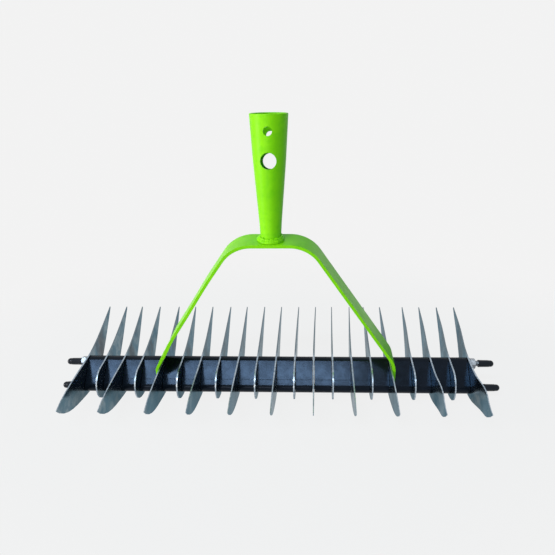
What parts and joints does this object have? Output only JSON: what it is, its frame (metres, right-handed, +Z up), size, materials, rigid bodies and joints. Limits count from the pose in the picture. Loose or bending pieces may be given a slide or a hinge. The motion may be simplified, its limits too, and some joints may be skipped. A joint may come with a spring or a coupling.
{
  "type": "lawn aerating rake head",
  "caption": "Head of a lawn aerating rake: crescent steel blades and black spacers on two rods, under a green bow with a tapered handle socket.",
  "frame": {"origin": "on the surface that the blades' bellies stand on, midway between the outer ends of the caps and midway between the two tips of a long blade", "axes": "+X along the rods, towards the side where the rods reach further out; +Y towards the long pointed tines; +Z up, in the plane of the bow"},
  "size_m": [0.462, 0.166, 0.2883],
  "materials": {
    "lime_paint": "glossy lime green paint",
    "galvanised_steel": "galvanised sheet with bright cut edges",
    "black_plastic": "moulded, semi-gloss",
    "zinc_plate": "bright zinc plate",
    "cap_plastic": "glossy"
  },
  "bodies": {
    "root": {"bow": "lime_paint", "end_cap_lower_left": "cap_plastic", "end_cap_lower_right": "cap_plastic", "end_cap_upper_left": "cap_plastic", "end_cap_upper_right": "cap_plastic", "handle_socket": "lime_paint", "long_blade_01": "galvanised_steel", "long_blade_03": "galvanised_steel", "long_blade_05": "galvanised_steel", "long_blade_07": "galvanised_steel", "long_blade_09": "galvanised_steel", "long_blade_11": "galvanised_steel", "long_blade_13": "galvanised_steel", "long_blade_15": "galvanised_steel", "long_blade_17": "galvanised_steel", "long_blade_19": "galvanised_steel", "long_blade_21": "galvanised_steel", "lower_rod": "zinc_plate", "nut_lower_left": "zinc_plate", "nut_lower_right": "zinc_plate", "nut_upper_left": "zinc_plate", "nut_upper_right": "zinc_plate", "short_blade_02": "galvanised_steel", "short_blade_04": "galvanised_steel", "short_blade_06": "galvanised_steel", "short_blade_08": "galvanised_steel", "short_blade_10": "galvanised_steel", "short_blade_12": "galvanised_steel", "short_blade_14": "galvanised_steel", "short_blade_16": "galvanised_steel", "short_blade_18": "galvanised_steel", "short_blade_20": "galvanised_steel", "spacer_01": "black_plastic", "spacer_02": "black_plastic", "spacer_03": "black_plastic", "spacer_04": "black_plastic", "spacer_05": "black_plastic", "spacer_06": "black_plastic", "spacer_07": "black_plastic", "spacer_08": "black_plastic", "spacer_09": "black_plastic", "spacer_10": "black_plastic", "spacer_11": "black_plastic", "spacer_12": "black_plastic", "spacer_13": "black_plastic", "spacer_14": "black_plastic", "spacer_15": "black_plastic", "spacer_16": "black_plastic", "spacer_17": "black_plastic", "spacer_18": "black_plastic", "spacer_19": "black_plastic", "spacer_20": "black_plastic", "upper_rod": "zinc_plate", "washer_lower_left": "zinc_plate", "washer_lower_right": "zinc_plate", "washer_upper_left": "zinc_plate", "washer_upper_right": "zinc_plate", "weld_bead": "lime_paint"}
  },
  "joints": []
}
